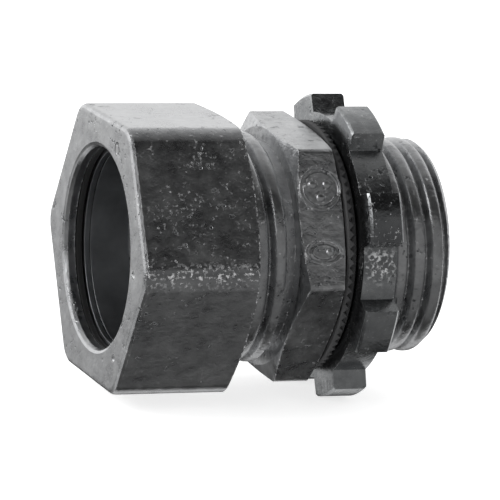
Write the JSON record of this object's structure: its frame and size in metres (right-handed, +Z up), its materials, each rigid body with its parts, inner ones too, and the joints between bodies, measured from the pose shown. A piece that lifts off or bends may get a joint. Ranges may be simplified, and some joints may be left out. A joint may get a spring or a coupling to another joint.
{
  "type": "conduit compression connector",
  "caption": "Threaded connector for thin-wall conduit: hexagonal compression nut, split gripping ring, hexagonal flange, threaded nipple with lugged locknut and a lined throat.",
  "frame": {"origin": "on the axis, halfway along the whole fitting", "axes": "+X along the axis towards the threaded nipple's end, the conduit enters from -X; +Z up through a flat of the compression nut"},
  "size_m": [0.0318, 0.0282, 0.028],
  "materials": {
    "cast_body": "die-cast zinc alloy, slightly oxidised",
    "cast_nut": "die-cast zinc alloy, slightly oxidised",
    "cast_locknut": "die-cast zinc alloy, darker and shinier",
    "plated_steel": "zinc-plated steel",
    "seal_rubber": "black rubber",
    "gasket_rubber": "black rubber",
    "throat_plastic": "dark moulded nylon"
  },
  "bodies": {
    "body": {"connector_body": "cast_body", "insulating_throat": "throat_plastic"},
    "gland": {"gland_seal": "seal_rubber", "slip_washer": "plated_steel", "compression_ring": "plated_steel"},
    "nut": {"compression_nut": "cast_nut"},
    "gasket": {"box_gasket": "gasket_rubber"},
    "locknut": {"locknut": "cast_locknut"}
  },
  "joints": [
    {"name": "gland_travel", "type": "slide", "parent": "body", "child": "gland", "axis": [1, 0, 0], "range_m": [-0.00591, 0.00092]},
    {"name": "nut_turn", "type": "hinge", "parent": "gland", "child": "nut", "pos_m": [0, 0, 0], "axis": [1, 0, 0], "range_deg": [-1170, 180]},
    {"name": "locknut_turn", "type": "hinge", "parent": "body", "child": "gasket", "pos_m": [0, 0, 0], "axis": [1, 0, 0], "range_deg": [0, 2160]},
    {"name": "locknut_travel", "type": "slide", "parent": "gasket", "child": "locknut", "axis": [1, 0, 0], "range_m": [0, 0.0109]}
  ],
  "couplings": [
    {"joint": "gland_travel", "follows": "nut_turn", "m_per_rad": 0.00028875},
    {"joint": "locknut_travel", "follows": "locknut_turn", "m_per_rad": 0.00028875}
  ]
}
